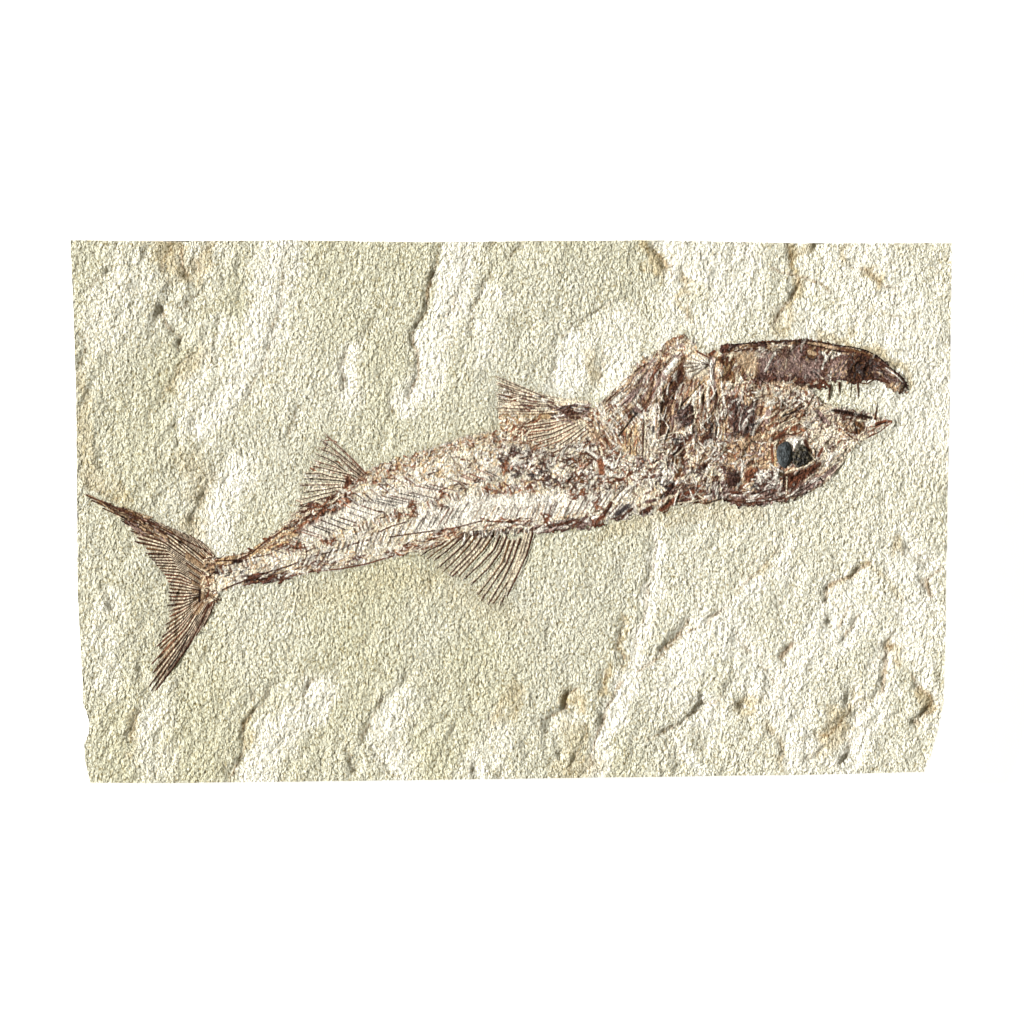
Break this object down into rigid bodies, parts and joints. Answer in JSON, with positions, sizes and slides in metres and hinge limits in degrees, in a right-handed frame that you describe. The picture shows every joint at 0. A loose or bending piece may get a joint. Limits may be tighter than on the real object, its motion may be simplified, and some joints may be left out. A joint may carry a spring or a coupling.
{
  "type": "fossil fish slab",
  "caption": "Trimmed limestone slab whose split face carries a fossil fish in low relief, lying flat on its back.",
  "frame": {"origin": "middle of the slab's flat back, where it rests", "axes": "+X along the slab's length, from the fish's tail to its head; +Y across the slab, towards the fish's belly; +Z out of the face that carries the fish"},
  "size_m": [0.2206, 0.1358, 0.0156],
  "materials": {
    "limestone": "split and chiselled cream limestone, matt and grainy",
    "rust_bone": "rust-brown fossil bone, matt, flecked with stone",
    "dark_bone": "purple-brown fossil bone, slightly waxy",
    "black_mineral": "slate-black mineral, slightly glossy"
  },
  "bodies": {
    "root": {"slab": "limestone", "skull": "dark_bone", "lower_jaw": "dark_bone", "upper_jaw": "dark_bone", "gill_cover": "rust_bone", "trunk": "rust_bone", "pectoral_fin": "rust_bone", "anal_fin": "rust_bone", "dorsal_fin": "rust_bone", "tail_fin": "rust_bone", "eye": "black_mineral"}
  },
  "joints": []
}
